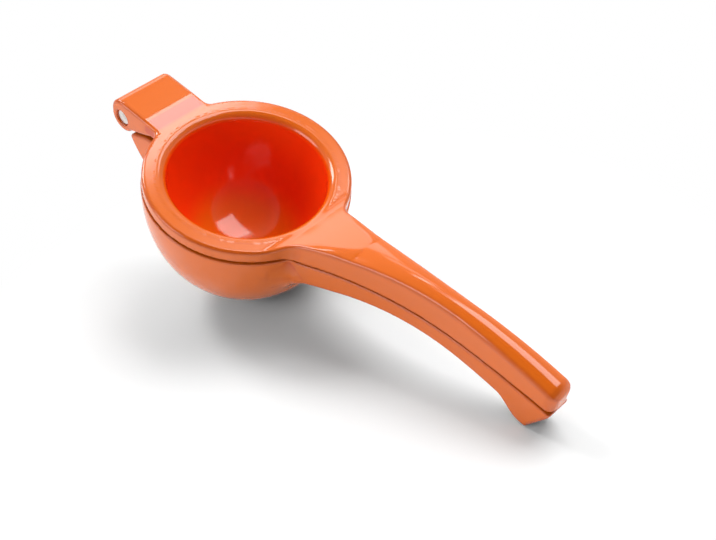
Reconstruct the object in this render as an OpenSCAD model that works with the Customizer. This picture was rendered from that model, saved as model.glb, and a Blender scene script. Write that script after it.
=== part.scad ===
// Hinged citrus press: a deep strainer bowl and a press cup, each cast in one piece with its
// handle, joined by one steel pin.  The castings are drawn about the ring's centre, with the
// ring's flat face at z = 0 and the handles along +X, and then laid down as they rest on a table:
// on the underside of the bowl and on the heel of the lower handle.

/* [Ring] */
// Outer radius of the flat ring
ring_r = 39.9; // [37:0.1:46]
// Thickness of the ring
ring_t = 5.2; // [4:0.1:7]
// Radius of the opening, inside the rolled lip
mouth_r = 30.8; // [26:0.1:32]
// Roll of the lip into the press cup
lip_round = 1.8; // [0.8:0.1:3]
// Roll of the outer edge
edge_round = 1.25; // [0.6:0.05:2]

/* [Press cup] */
// Depth of the press cup inside, below the ring's face
cup_depth = 40; // [30:0.5:42]
// Wall of the press cup
cup_wall = 2.8; // [2:0.1:3.4]
// Fullness of the cup: 2 is an ellipse, more is squarer
cup_power = 2.2; // [2:0.1:3]

/* [Strainer bowl] */
// How far the bowl stands out past the ring
bowl_out = 0.4; // [0:0.1:1]
// Depth of the bowl outside, below its rim
bowl_depth = 49; // [46:0.5:60]
// Wall of the bowl
bowl_wall = 3; // [2:0.1:3.4]
// Fullness of the bowl: 2 is an ellipse, more is squarer
bowl_power = 2.2; // [2:0.1:3]
// Seam between the two castings when closed
seam_gap = 0.5; // [0.3:0.05:1]
// Diameter of each drain hole
drain_d = 4.2; // [3:0.1:5]
// Pitch of the rings of drain holes
drain_pitch = 8.2; // [7:0.1:9]

/* [Handles] */
// End of the handles, from the ring's centre
handle_x = 149.5; // [135:0.5:165]
// Place of the narrowest point of the handles
waist_x = 107; // [95:1:120]
// Half width of the handles at the narrowest point
waist_w = 4.7; // [4.4:0.1:7]
// Half width of the handles at the end
tip_w = 5.3; // [4.6:0.1:8]
// Plan radius of the flare from the waist to the neck
flare_r = 268; // [200:1:400]
// Radius of the fillet where the ring runs into the handle
neck_fillet = 10; // [5:0.5:14]
// Highest point of the upper handle, above the ring's face
crown_h = 23.3; // [20:0.1:27]
// Place of the highest point of the upper handle
crown_x = 124; // [115:1:130]
// Arch radius of the upper handle
crown_r = 187; // [175:1:210]
// Rise of the crown across the handle
crown_rise = 1.9; // [1:0.1:3]
// Roll of the crown's shoulders
crown_round = 0.9; // [0.4:0.1:1.5]
// Start of the shoulders, where the ring runs into the neck
neck_x = 37; // [34:0.5:40]
// Tip of the flat tongue that runs from the ring's face up the neck
tongue_x = 61.5; // [56:0.5:70]
// Width of the shoulder beside that tongue
shoulder_w = 4.1; // [3:0.1:5]
// Radius of the upper handle's end in the side view
end_round = 3.5; // [2:0.1:4.5]
// Radius of the upper handle's end in plan
end_corner = 2; // [0.5:0.1:3]
// Height of the seam at its highest point
seam_h = 12.1; // [10:0.1:14]
// Place of the highest point of the seam
seam_x = 147; // [140:1:155]
// Arch radius of the seam
seam_r = 329; // [280:1:380]
// Height of the lower handle's underside at its highest point
belly_h = 2.1; // [-1:0.1:3]
// Place of the highest point of the underside
belly_x = 119.5; // [110:1:125]
// Arch radius of the underside
belly_r = 158; // [140:1:190]
// Wall of the hollow handles
handle_wall = 2.4; // [1.8:0.1:2.8]

/* [Heel] */
// Place of the heel that the lower handle rests on
heel_x = 141; // [136:0.5:143]
// Height of the heel's underside
heel_h = -3.2; // [-5:0.1:-1]
// Length of the slope that runs down to the heel
heel_run = 13; // [8:0.5:18]
// Half length of the heel's foot
heel_foot = 1.6; // [1:0.1:3]
// Thickness of the lower casting at its end
end_t = 1.4; // [0.8:0.1:2.5]

/* [Hinge] */
// Width of the hinge
hinge_w = 25.8; // [22:0.1:30]
// Radius of the fillet where the ring runs into the hinge
hinge_fillet = 3.5; // [1.5:0.5:6]
// Distance of the pin behind the ring's centre
pin_x = 59.6; // [57:0.1:63]
// Depth of the pin below the ring's face
pin_z = 8.8; // [8:0.1:10]
// Diameter of the pin
pin_d = 7; // [5:0.1:7.6]
// Radial clearance of the pin in the tongue
pin_clear = 0.06; // [0.03:0.01:0.1]
// Depth that each end of the pin is sunk into its ear
pin_sunk = 0.8; // [0.2:0.1:1.5]
// Chamfer of the pin's ends
pin_chamfer = 0.5; // [0.2:0.1:0.8]
// Thickness of each ear
ear_t = 6.4; // [5:0.1:8]
// Radius of the ears' rounded end
ear_r = 6.3; // [5.6:0.1:7]
// Rise of the ears' underside from the rounded end to its front
ear_rise = 3.4; // [2:0.1:5]
// Depth of the ears under the ring
ear_root = 2.6; // [1:0.1:4]
// Radius of the tongue round the pin
tongue_r = 6.1; // [5.4:0.05:6.2]
// Running gap between the tongue and the hood and ears
tongue_gap = 0.35; // [0.2:0.05:0.6]
// Gap between the ears and the bracket under them
bracket_gap = 1.1; // [0.6:0.1:1.6]
// Angle below the pin's level at which the bracket ends behind the ears
bracket_tip = 51; // [35:1:65]
// Belly of the bracket's curved back
bracket_belly = 10; // [4:0.5:12]
// Depth at which the bracket's back runs into the bowl, below the pin
bracket_foot = 29; // [22:1:34]
// Distance of the crease of the hood behind the ring's centre
crease_x = 46.5; // [44:0.1:49]
// Drop of the hood from the crease to its end
hood_drop = 0.6; // [0.2:0.1:1.2]
// Angle round the pin at which the hood ends at the back
hood_end = 150; // [135:1:158]

/* [Stance] */
// Depth of the flats ground where the bowl and the heel touch the table
rest_flat = 0.3; // [0.1:0.05:0.4]

/* [Hidden] */
$fn = 96;
enamel = "darkorange";
steel = "silver";
edge_steps = 5;              // facets of a rolled edge
end_steps = 4;               // stations of the upper handle's rounded end
ring_steps = 30;             // stations of a casting across the ring
handle_steps = 30;           // stations of a casting along the handle
cup_steps = 22;              // bands of a cup's profile
curve_steps = 10;            // facets of the bracket's back
roll_power = 2;              // roll of the ring's edge, a quarter circle
crown_power = 8;             // roll of the crown's shoulders, tight at the side
ramp_soft = 3;               // height over which the ring's face bends up into the handle
weld = 2;                    // how far the hinge runs into the ring and the bowl
over = 1;                    // how far a cutter runs past the metal
far = 400;                   // longer than the whole press
drain_rows = 2;              // rings of drain holes round the middle one
drain_step = 6;              // holes that each ring has more than the one inside it

hinge_half = hinge_w / 2;
rim_z = -ring_t - seam_gap;  // top of the lower casting at the bowl
cup_r = mouth_r + cup_wall;
bowl_r = ring_r + bowl_out;  // outer radius of the bowl at its rim
bowl_in_r = bowl_r - bowl_wall;
bowl_in_depth = bowl_depth - bowl_wall;
pin_len = hinge_w - 2 * pin_sunk;
ear_gap = hinge_w - 2 * ear_t;
tongue_w = ear_gap - 2 * tongue_gap;
slot_r = tongue_r + tongue_gap;

// ---- curves ----
// height at x of a circular arch of radius r with its top at [top_x, top_z]
function arch(x, top_x, top_z, r) = top_z - r + sqrt(r * r - pow(x - top_x, 2));
// the larger of two values, with the corner between them rounded over a height s
function soft_max(a, b, s) =
    max(a, b) + (abs(a - b) < s ? pow(s - abs(a - b), 2) / (4 * s) : 0);
function ease(t) = let (u = min(max(t, 0), 1)) u * u * (3 - 2 * u);
function mix(a, b, t) = a + (b - a) * t;
// a smooth curve from a to c that heads for b on the way
function bend(a, b, c, n) = [for (i = [0 : n]) mix(mix(a, b, i / n), mix(b, c, i / n), i / n)];

// half width of the spine, which is the hinge, neck and handle without the ring
function spine_w(x) =
    x > waist_x ? mix(waist_w, tip_w, (x - waist_x) / (handle_x - waist_x)) :
    min(hinge_half, flare_w(x));
function flare_w(x) = -arch(x, waist_x, -waist_w, flare_r);
// centre of the fillet where a ring of radius r runs into the hinge
function hinge_hook(r) = let (y = hinge_half + hinge_fillet)
    [-sqrt(pow(r + hinge_fillet, 2) - y * y), y];
// centre of the fillet where a ring of radius r runs into the flare of the neck
function neck_hook(r) =
    let (flare = [waist_x, waist_w + flare_r], d = norm(flare), out = r + neck_fillet,
        along = (out * out - pow(flare_r - neck_fillet, 2) + d * d) / (2 * d),
        off = sqrt(out * out - along * along))
    (along * flare + off * [flare.y, -flare.x]) / d;
// half width of the outline that both castings share: a ring of radius r, hinge and handle
function plan_w(x, r = ring_r) =
    let (fillet = x < 0 ? hinge_fillet : neck_fillet, hook = x < 0 ? hinge_hook(r) : neck_hook(r),
        ring_end = abs(hook.x) * r / (r + fillet),
        hook_end = x < 0 ? -hook.x : mix(waist_x, hook.x, flare_r / (flare_r - neck_fillet)))
    abs(x) < ring_end ? sqrt(r * r - x * x) :
    abs(x) < hook_end ? hook.y - sqrt(fillet * fillet - pow(x - hook.x, 2)) :
    x < 0 ? hinge_half : x < waist_x ? flare_w(x) : spine_w(x);

function crown_z(x) = x < 0 ? 0 : soft_max(0, arch(x, crown_x, crown_h, crown_r), ramp_soft);
function seam_z(x) = x < 0 ? -ring_t : max(-ring_t, arch(x, seam_x, seam_h, seam_r));
function belly_z(x) = arch(x, belly_x, belly_h, belly_r);
heel_start = heel_x - heel_run;
heel_toe = heel_x - heel_foot;
heel_back = heel_x + heel_foot;
end_z = seam_z(handle_x) - seam_gap - end_t;
// underside of the lower casting, with the heel
function under_z(x) =
    x < heel_start ? belly_z(x) :
    x < heel_toe ? mix(belly_z(heel_start), heel_h, ease((x - heel_start) / (heel_toe - heel_start))) :
    x < heel_back ? heel_h :
    mix(heel_h, end_z, (x - heel_back) / (handle_x - heel_back));

// ---- lofts along X ----
// A section is the outline of a casting at one x, from its open edge on one side over the back
// to the open edge on the other.  Its edge rolls in over reach; it falls by rise across that
// width and by round at the side, where power sets how tight the roll is.
function rolled(x, w, top, reach, round, rise, power) =
    [for (i = [0 : edge_steps]) let (u = cos(90 * i / edge_steps))
        [x, w - reach + reach * u, top - rise * u * u - round * (1 - sqrt(1 - pow(u, power)))]];
function mirrored(points) =
    [for (i = [len(points) - 1 : -1 : 0]) [points[i].x, -points[i].y, points[i].z]];
function section(x, open_w, open_z, w, top, reach, round, rise = 0, power = roll_power) =
    let (half = concat([[x, open_w, open_z]], rolled(x, w, top, reach, round, rise, power)))
    concat(half, mirrored(half));
// turned over, with its open edge on top
function turned(points) = [for (p = points) [p.x, -p.y, -p.z]];

module loft(sections) {
    n = len(sections[0]);
    last = len(sections) - 1;
    sides = [for (s = [0 : last - 1], i = [0 : n - 1])
        let (j = (i + 1) % n) [s * n + i, (s + 1) * n + i, (s + 1) * n + j, s * n + j]];
    first_cap = [for (i = [0 : n - 1]) i];
    last_cap = [for (i = [n - 1 : -1 : 0]) last * n + i];
    points = [for (s = sections) each s];
    polyhedron(points, concat(sides, [first_cap, last_cap]), convexity = 6);
}

// stations along X, closer together where the ring's outline turns
function ring_stations(from) =
    [for (i = [1 : ring_steps]) let (x = -ring_r * cos(180 * i / ring_steps)) if (x > from) x];
handle_stations = [for (i = [1 : handle_steps]) mix(ring_r, handle_x, i / handle_steps)];

// ---- press cup and bowl ----
// profile of a cup from its mouth down to its middle
function cup_profile(r, depth, power, top, steps = cup_steps) =
    [for (i = [0 : steps]) let (a = 90 * i / steps)
        [r * pow(cos(a), 2 / power), top - depth * pow(sin(a), 2 / power)]];

// a solid cup with a straight collar above its mouth
module cup(r, depth, power, top, collar) {
    rotate_extrude()
        polygon(concat([[0, top + collar], [r, top + collar]], cup_profile(r, depth, power, top)));
}

// ---- upper casting ----
neck_mid = (neck_x + tongue_x) / 2;
// half width of the flat on top, which ends in a round tongue on the neck
function flat_w(x) =
    let (shoulder = mix(edge_round, shoulder_w, ease((x - neck_x) / (neck_mid - neck_x) * 1.7)),
        past = min(max((x - neck_mid) / (tongue_x - neck_mid), 0), 1))
    (plan_w(x) - shoulder) * sqrt(1 - past * past);
// inset and lowered narrow and lower the section at the handle's end
function upper_section(x, inset = 0, lowered = 0) =
    let (w = plan_w(x) - inset, share = ease((x - neck_x) / (tongue_x - neck_x)))
    section(x, w, seam_z(x), w, crown_z(x) - lowered, w - max(flat_w(x) - inset, 0),
        mix(edge_round, crown_round, share), mix(0, crown_rise, share),
        mix(roll_power, crown_power, share));

// ring, neck and handle in one sweep
module upper_plate() {
    start = -crease_x + over;
    loft(concat([upper_section(start)],
        [for (x = ring_stations(start)) upper_section(x)],
        [for (x = handle_stations) if (x < handle_x - end_round) upper_section(x)],
        [for (i = [0 : end_steps]) let (a = 90 * i / end_steps)
            upper_section(handle_x - end_round * (1 - sin(a)), end_corner * (1 - cos(a)),
                end_round * (1 - cos(a)))]));
}

// hollow of the upper handle, open towards the lower one
module upper_channel() {
    start = ring_r + 3 * handle_wall;
    end = handle_x - handle_wall;
    bend_z = crown_rise / 2;
    loft([for (i = [0 : handle_steps])
        let (x = mix(start, end, i / handle_steps), w = plan_w(x) - handle_wall)
        section(x, w, seam_z(x) - over, w, crown_z(x) - handle_wall - bend_z, w / 2, bend_z)]);
}

// underside of the ears in the XZ plane, from under the pin forward to the ring
ear_front = [-pin_x + ear_r, -pin_z - ear_r + ear_rise];
ear_back = [-crease_x + edge_round, -ring_t - ear_root];

// side view of the hood and ears
module ear_side() {
    translate([-pin_x, -pin_z]) circle(ear_r);
    translate([-pin_x, -ear_r - hood_drop]) circle(ear_r);
    translate([-pin_x - ear_r, -pin_z]) square([2 * ear_r, pin_z - ear_r - hood_drop]);
    polygon([[-crease_x, 0], [-pin_x, -hood_drop], [-pin_x, -pin_z - ear_r], ear_front, ear_back,
        [-bowl_r - seam_gap, -ring_t], [-ring_r + weld, -ring_t], [-ring_r + weld, 0]]);
}

// end view of the hinge, with its upper edges rolled
module hinge_end() {
    for (side = [-1, 1])
        translate([side * (hinge_half - edge_round), -edge_round]) circle(edge_round);
    translate([-hinge_half + edge_round, -far]) square([hinge_w - 2 * edge_round, far]);
    translate([-hinge_half, -far]) square([hinge_w, far - edge_round]);
}

// a side view given a width across the hinge
module across(width) {
    rotate([90, 0, 0]) linear_extrude(width, center = true) children();
}

module hinge_block() {
    intersection() {
        across(hinge_w) ear_side();
        rotate([90, 0, 90]) translate([0, 0, -far]) linear_extrude(far) hinge_end();
    }
}

// room for the tongue between the ears, open below and behind
module tongue_slot() {
    front = -ring_r + weld + over;
    across(ear_gap) {
        translate([-pin_x, -pin_z]) circle(slot_r);
        polygon([[-pin_x, -pin_z], [-pin_x + far * cos(hood_end), -pin_z + far * sin(hood_end)],
            [-pin_x - far, -far], [front, -far], [front, -ring_t], [-pin_x, -ring_t]]);
    }
}

module pin_bore(d) {
    translate([-pin_x, 0, -pin_z]) rotate([90, 0, 0])
        cylinder(d = d, h = hinge_w + 2 * over, center = true);
}

// rolls the edge of the opening over into the cup
module lip_cutter() {
    rotate_extrude() difference() {
        translate([mouth_r - over, -lip_round]) square(lip_round + over);
        translate([mouth_r + lip_round, -lip_round]) circle(lip_round);
    }
}

module upper_press() color(enamel) at_rest() difference() {
    union() {
        upper_plate();
        difference() {
            hinge_block();
            tongue_slot();
        }
        cup(cup_r, cup_depth + cup_wall - edge_round, cup_power, -edge_round, 0);
    }
    cup(mouth_r, cup_depth - lip_round, cup_power, -lip_round, lip_round + over);
    lip_cutter();
    upper_channel();
    pin_bore(pin_d);
}

// ---- lower casting ----
// its open edge follows the shared outline out of the bowl's wall, and its underside is only as
// wide as the spine
function lower_section(x) =
    turned(section(x, plan_w(x, bowl_r - bowl_wall / 2), seam_gap - seam_z(x),
        spine_w(x), -under_z(x), edge_round, edge_round));

module lower_handle() {
    start = ring_r / 2;
    loft(concat([for (x = ring_stations(start)) lower_section(x)],
        [for (x = handle_stations) lower_section(x)]));
}

// hollow of the lower handle, open towards the upper one and closed at the heel
module lower_channel() {
    start = ring_r + 2 * handle_wall;
    bend_z = crown_rise / 2;
    loft([for (i = [0 : handle_steps])
        let (x = mix(start, heel_toe, i / handle_steps), w = spine_w(x) - handle_wall)
        turned(section(x, w, -seam_z(x) - over, w, -belly_z(x) - handle_wall - bend_z, w / 2, bend_z))]);
}

// side view of the bracket under the ears, with its back running down into the bowl
module bracket_side() {
    out = ear_r + bracket_gap;
    tip = [-pin_x + out * cos(bracket_tip), -pin_z - out * sin(bracket_tip)];
    foot = [-ring_r / 2 - weld, -pin_z - bracket_foot];
    gap = [0, bracket_gap];
    polygon(concat([[-ring_r + weld, rim_z - weld], ear_back - gap, ear_front - gap],
        bend(tip, [(tip.x + foot.x) / 2 - bracket_belly, (tip.y + foot.y) / 2], foot, curve_steps)));
}

// side view of the tongue that rises between the ears and turns on the pin
module tongue_side() {
    translate([-pin_x, -pin_z]) circle(tongue_r);
    polygon([[-pin_x, -pin_z], [-pin_x + tongue_r, rim_z], [-ring_r + weld, rim_z],
        [-ring_r + weld, -pin_z - tongue_r], [-pin_x, -pin_z - tongue_r]]);
}

module drain_holes() {
    for (row = [0 : drain_rows]) let (count = max(row * drain_step, 1))
        for (i = [0 : count - 1])
            rotate(360 * (i + 0.5) / count) translate([row * drain_pitch, 0, rim_z - bowl_depth - over])
                cylinder(d = drain_d, h = bowl_depth / 2);
}

module strainer_bowl() color(enamel) difference() {
    at_rest() difference() {
        union() {
            cup(bowl_r, bowl_depth, bowl_power, rim_z, 0);
            lower_handle();
            across(hinge_w) bracket_side();
            across(tongue_w) tongue_side();
        }
        cup(bowl_in_r, bowl_in_depth, bowl_power, rim_z, over);
        lower_channel();
        drain_holes();
        pin_bore(pin_d + 2 * pin_clear);
    }
    translate([-far / 2, -far / 2, -far]) cube(far);
}

// ---- pin ----
module hinge_pin() color(steel) at_rest() translate([-pin_x, 0, -pin_z]) rotate([90, 0, 0])
    rotate_extrude() polygon([[0, -pin_len / 2], [pin_d / 2 - pin_chamfer, -pin_len / 2],
        [pin_d / 2, -pin_len / 2 + pin_chamfer], [pin_d / 2, pin_len / 2 - pin_chamfer],
        [pin_d / 2 - pin_chamfer, pin_len / 2], [0, pin_len / 2]]);

// ---- stance ----
// How far a point of the side view lies in the direction that points down at a tilt of a degrees
function reach_down(p, a) = p.x * sin(a) - p.y * cos(a);
fine_steps = 90;
bowl_profile = cup_profile(bowl_r, bowl_depth, bowl_power, rim_z, fine_steps);
function bowl_reach(a) = max([for (p = bowl_profile) reach_down(p, a)]);
function heel_reach(a) = reach_down([heel_back, heel_h], a);
// the tilt at which both reach the table, found by halving
function find_tilt(low, high, n) =
    let (a = (low + high) / 2)
    n == 0 ? a : heel_reach(a) > bowl_reach(a) ? find_tilt(low, a, n - 1) : find_tilt(a, high, n - 1);
tilt = find_tilt(5, 45, 30);
table = bowl_reach(tilt);
touch = [for (p = bowl_profile) if (reach_down(p, tilt) >= table) p][0];

// lays a casting down, with the middle of the bowl's resting place at the origin
module at_rest() {
    translate([-touch.x * cos(tilt) - touch.y * sin(tilt), 0, table - rest_flat])
        rotate([0, tilt, 0]) children();
}

upper_press();
strainer_bowl();
hinge_pin();
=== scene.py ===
"""Enamelled hinged citrus press: two cast halves on one steel pin, laid on a pale table."""
import math

import bmesh
import bpy
import numpy as np
from mathutils import Matrix, Vector


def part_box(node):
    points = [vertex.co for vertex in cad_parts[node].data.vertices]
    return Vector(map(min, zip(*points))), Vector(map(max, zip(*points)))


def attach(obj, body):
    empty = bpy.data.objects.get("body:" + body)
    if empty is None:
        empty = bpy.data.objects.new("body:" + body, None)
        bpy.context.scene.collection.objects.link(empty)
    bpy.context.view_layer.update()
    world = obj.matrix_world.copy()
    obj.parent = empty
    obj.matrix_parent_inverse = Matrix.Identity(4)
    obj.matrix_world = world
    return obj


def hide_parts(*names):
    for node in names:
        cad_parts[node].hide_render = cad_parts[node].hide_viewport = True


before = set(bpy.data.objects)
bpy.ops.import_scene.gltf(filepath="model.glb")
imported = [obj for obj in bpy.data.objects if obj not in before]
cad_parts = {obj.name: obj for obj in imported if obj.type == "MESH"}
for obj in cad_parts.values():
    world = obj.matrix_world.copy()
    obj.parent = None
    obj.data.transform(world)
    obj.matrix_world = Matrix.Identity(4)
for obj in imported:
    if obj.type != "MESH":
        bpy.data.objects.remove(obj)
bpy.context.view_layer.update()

bl_info = {
    "name": "Hinged Citrus Press",
    "version": (1, 0, 0),
    "blender": (4, 5, 0),
    "location": "View3D > Sidebar > Citrus Press",
    "description": "Builds an enamelled cast citrus press with its hinge pin and a small studio",
    "category": "Add Mesh",
}

MM = 0.001
PIN_LOW, PIN_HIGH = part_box("hinge_pin")
PIN_CENTRE = (PIN_LOW + PIN_HIGH) / 2
BOWL_BODY = "bowl_body"
PRESS_BODY = "press_body"


# -------- settings

def length(name, description, size, low=0.0, high=500.0):
    return bpy.props.FloatProperty(
        name=name, description=description, default=size * MM,
        min=low * MM, max=high * MM, unit="LENGTH", precision=5)


def factor(name, description, value, high=1.0):
    return bpy.props.FloatProperty(
        name=name, description=description, default=value, min=0.0, max=high, subtype="FACTOR")


def radiance(name, description, value):
    return bpy.props.FloatProperty(
        name=name, description=description, default=value, min=0.0, max=50.0)


def colour(name, description, rgb):
    return bpy.props.FloatVectorProperty(
        name=name, description=description, default=rgb, size=3, min=0.0, max=1.0,
        subtype="COLOR")


class PressShape(bpy.types.PropertyGroup):
    ring_radius: length("Ring Radius", "Outer radius of the flat ring", 39.9)
    ring_thickness: length("Ring Thickness", "Thickness of the flat ring", 5.2)
    mouth_radius: length("Mouth Radius", "Radius of the opening inside the lip", 30.8)
    lip_round: length("Lip Round", "Roll of the lip into the cup", 1.8)
    edge_round: length("Edge Round", "Roll of the castings' outer edges", 1.25)
    neck_fillet: length("Neck Fillet", "Radius of the fillet where ring and handle meet", 10.0)
    hinge_fillet: length("Hinge Fillet", "Radius of the fillet where ring and hinge meet", 3.5)
    cup_depth: length("Cup Depth", "Depth of the press cup inside", 40.0)
    cup_wall: length("Cup Wall", "Wall of the press cup", 2.8)
    bowl_out: length("Bowl Out", "How far the bowl stands out past the ring", 0.4)
    bowl_depth: length("Bowl Depth", "Depth of the bowl outside", 49.0)
    bowl_wall: length("Bowl Wall", "Wall of the bowl", 3.0)
    seam_gap: length("Seam Gap", "Seam between the two castings", 0.5)
    handle_end: length("Handle End", "End of the handles from the ring's centre", 149.5)
    handle_wall: length("Handle Wall", "Wall of the hollow handles", 2.4)
    hinge_width: length("Hinge Width", "Width of the hinge", 25.8)
    pin_behind: length("Pin Behind", "Distance of the pin behind the ring's centre", 59.6)
    pin_below: length("Pin Below", "Depth of the pin below the ring's face", 8.8)
    pin_diameter: length("Pin Diameter", "Diameter of the hinge pin", 7.0)
    pin_sunk: length("Pin Sunk", "Depth of each pin end in its ear", 0.8)
    ear_thickness: length("Ear Thickness", "Thickness of each ear", 6.4)
    ear_radius: length("Ear Radius", "Radius of the ears' rounded end", 6.3)
    drain_diameter: length("Drain Diameter", "Diameter of each drain hole", 4.2)
    drain_pitch: length("Drain Pitch", "Pitch of the rings of drain holes", 8.2)
    mesh_step: length("Mesh Step", "Size of the castings' mesh faces", 0.75, 0.4)


class PressFinish(bpy.types.PropertyGroup):
    enamel: colour("Enamel", "Colour of the enamel", (0.88, 0.165, 0.006))
    enamel_edge: colour("Enamel Edge", "Enamel where it thins over an edge", (0.66, 0.10, 0.006))
    enamel_pool: colour("Enamel Pool", "Enamel where it pools in a corner", (0.70, 0.075, 0.003))
    # painted glow: inside the press cup the coat is a deeper, brighter red that stands in for the
    # light bouncing round the cup
    painted_cup_glow: colour("Enamel Cup", "Thicker enamel inside the press cup", (0.97, 0.055, 0.004))
    enamel_bounce: colour("Enamel Bounce", "Light that the underside gives back to the table",
                          (0.20, 0.20, 0.20))
    enamel_roughness: factor("Enamel Roughness", "Roughness of the enamel", 0.10)
    peel_size: length("Peel Size", "Size of the orange peel's waves", 4.5)
    peel_height: length("Peel Height", "Height of the orange peel's waves", 0.02)
    steel: colour("Pin Steel", "Colour of the pin", (0.95, 0.92, 0.88))


class StudioSettings(bpy.types.PropertyGroup):
    ring_light: radiance("Ring Light", "Radiance of the small softbox mirrored in the ring", 6.5)
    overhead_light: radiance("Overhead Light", "Radiance of the square softbox overhead", 4.7)
    back_light: radiance("Back Light", "Radiance of the dim softboxes at the back", 1.5)
    left_light: radiance("Left Light", "Radiance of the softbox mirrored in the lip", 10.5)
    front_light: radiance("Front Light", "Radiance of the softbox at the front", 3.4)
    sky: factor("Sky", "Level of the plain surround", 0.60, 2.0)
    floor: colour("Floor", "Colour of the table", (1.0, 1.0, 1.0))


def mm(name):
    """One of the press's sizes, in millimetres."""
    return getattr(bpy.context.scene.press_shape, name) / MM


def bowl_radius():
    return mm("ring_radius") + mm("bowl_out")


# -------- curves of the castings
# Everything below is drawn in millimetres about the ring's centre, with the ring's face at
# z = 0 and the handles along +X, and laid down by rest_matrix at the end.

# The plan of the handle: half widths at the waist and the tip, and the flare's radius.
WAIST_X, WAIST_W, TIP_W, FLARE_R = 107.0, 4.7, 5.3, 268.0

# Each arch is the x of its top, the height of its top and its radius.
CROWN = (124.0, 23.3, 187.0)
SEAM = (147.0, 12.1, 329.0)
BELLY = (119.5, 2.1, 158.0)
RAMP_SOFT, SEAM_SOFT = 1.4, 1.0

# The crown's section, and the neck over which the flat ring turns into it.
CROWN_RISE, CROWN_ROUND = 1.9, 0.9
SHOULDER_W, SHOULDER_PACE = 4.1, 1.7
NECK_X, TONGUE_X = 37.0, 61.5
END_ROUND, END_CORNER = 3.5, 2.0

# The width, the degrees and the softness of the slope from the ring's face to the lip.
LIP_BEVEL, LIP_SLOPE, LIP_SOFT = 2.6, 28, 0.4

# The heel under the lower handle, and the thickness of the handle's tip.
HEEL_X, HEEL_H, HEEL_RUN, HEEL_FOOT, END_T = 141.0, -3.2, 13.0, 1.6, 1.4

# The hinge in the side view: hood, front of the ears, bracket below them, and tongue. The
# trim takes a hair off the ears' round, which keeps the mesh within the press's length, and
# all the hinge's roots reach in under the ring.
CREASE_X, HOOD_DROP = 46.5, 0.6
EAR_TOE, EAR_ROOT_X, EAR_ROOT_Z = 3.4, 1.25, 2.6
EAR_TRIM, ROOT_IN = 0.02, 2
BRACKET_GAP, BRACKET_FOOT, BRACKET_BELLY, BRACKET_STEPS = 1.1, 29, 10, 10
TIP_ANGLE = math.radians(51)
TONGUE_R, TONGUE_GAP, PIN_PLAY = 6.1, 0.35, 0.06

# The slot for the tongue fans out to far points behind and above the pin, and below it.
SLOT_BACK, SLOT_UP, SLOT_REACH = 346.4, 200, 400

# Bowl and lower handle melt together along x and with the drop below the seam. The handle's
# lower edge has more roll there, which fades out at ROLL_X.
MELT_LEAST, MELT_MORE, MELT_X, MELT_RUN, MELT_DROP = 0.4, 6.0, 22, 12, 9
ROLL_MORE, ROLL_X, ROLL_RUN = 1.8, 58, 18

# How square the bottoms are (2 is an ellipse), the fillet where the cup leaves the ring, and
# the metal that the handles' hollows leave over their walls.
CUP_POWER, BOWL_POWER = 2.2, 2.2
CUP_JOIN, CORE_GAP = 1.6, 0.6

# The step over which slopes are measured.
SLOPE_STEP = 0.05


def arch(x, top):
    return top[1] - top[2] + np.sqrt(np.maximum(top[2] ** 2 - (x - top[0]) ** 2, 0.0))


def ease(t):
    u = np.clip(t, 0.0, 1.0)
    return u * u * (3 - 2 * u)


def soft_max(a, b, s):
    gap = np.maximum(s - np.abs(a - b), 0.0)
    return np.maximum(a, b) + gap * gap / (4 * s)


def flare_w(x):
    tail = WAIST_W + (TIP_W - WAIST_W) * (x - WAIST_X) / (mm("handle_end") - WAIST_X)
    return np.where(x > WAIST_X, tail, -arch(x, (WAIST_X, -WAIST_W, FLARE_R)))


def spine_w(x):
    return np.minimum(mm("hinge_width") / 2, flare_w(x))


def fillet_w(x, r, fillet, centre, spine_end):
    """A ring of radius r that runs into the spine at spine_end over one round fillet."""
    cx, cy = centre
    ring = np.sqrt(np.maximum(r * r - x * x, 0.0))
    bend = cy - np.sqrt(np.maximum(fillet * fillet - (x - cx) ** 2, 0.0))
    return np.where(x < abs(cx) * r / (r + fillet), ring, np.where(x < spine_end, bend, np.nan))


def plan_w(x, r):
    """Half width of the outline that both castings share: ring, hinge and handle."""
    half, hook = mm("hinge_width") / 2, mm("hinge_fillet")
    hinge_x = math.sqrt((r + hook) ** 2 - (half + hook) ** 2)
    hinge = fillet_w(-x, r, hook, (hinge_x, half + hook), hinge_x)
    neck = mm("neck_fillet")
    flare = np.array([WAIST_X, WAIST_W + FLARE_R])
    d, out = np.hypot(*flare), r + neck
    along = (out ** 2 - (FLARE_R - neck) ** 2 + d * d) / (2 * d)
    off = math.sqrt(out ** 2 - along ** 2)
    cx, cy = (along * flare + off * np.array([flare[1], -flare[0]])) / d
    handle = fillet_w(x, r, neck, (cx, cy), WAIST_X + (cx - WAIST_X) * FLARE_R / (FLARE_R - neck))
    handle = np.where(np.isnan(handle), flare_w(x), handle)
    return np.where(x < 0, np.where(np.isnan(hinge), half, hinge), handle)


def crown_z(x):
    return np.where(x < 0, 0.0, soft_max(0.0, arch(x, CROWN), RAMP_SOFT))


def neck_share(x):
    """0 where the ring runs into the neck, 1 where the neck has become the round handle."""
    return ease((x - NECK_X) / (TONGUE_X - NECK_X))


def flat_w(x, w):
    """Half width of the flat on top, which ends in a round tongue on the neck."""
    middle = (NECK_X + TONGUE_X) / 2
    edge = mm("edge_round")
    shoulder = edge + (SHOULDER_W - edge) * ease((x - NECK_X) / (middle - NECK_X) * SHOULDER_PACE)
    past = np.clip((x - middle) / (TONGUE_X - middle), 0, 1)
    return np.maximum(w - shoulder, 0) * np.sqrt(1 - past * past)


def seam_z(x):
    t = mm("ring_thickness")
    return np.where(x < 0, -t, soft_max(-t, arch(x, SEAM), SEAM_SOFT))


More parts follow.
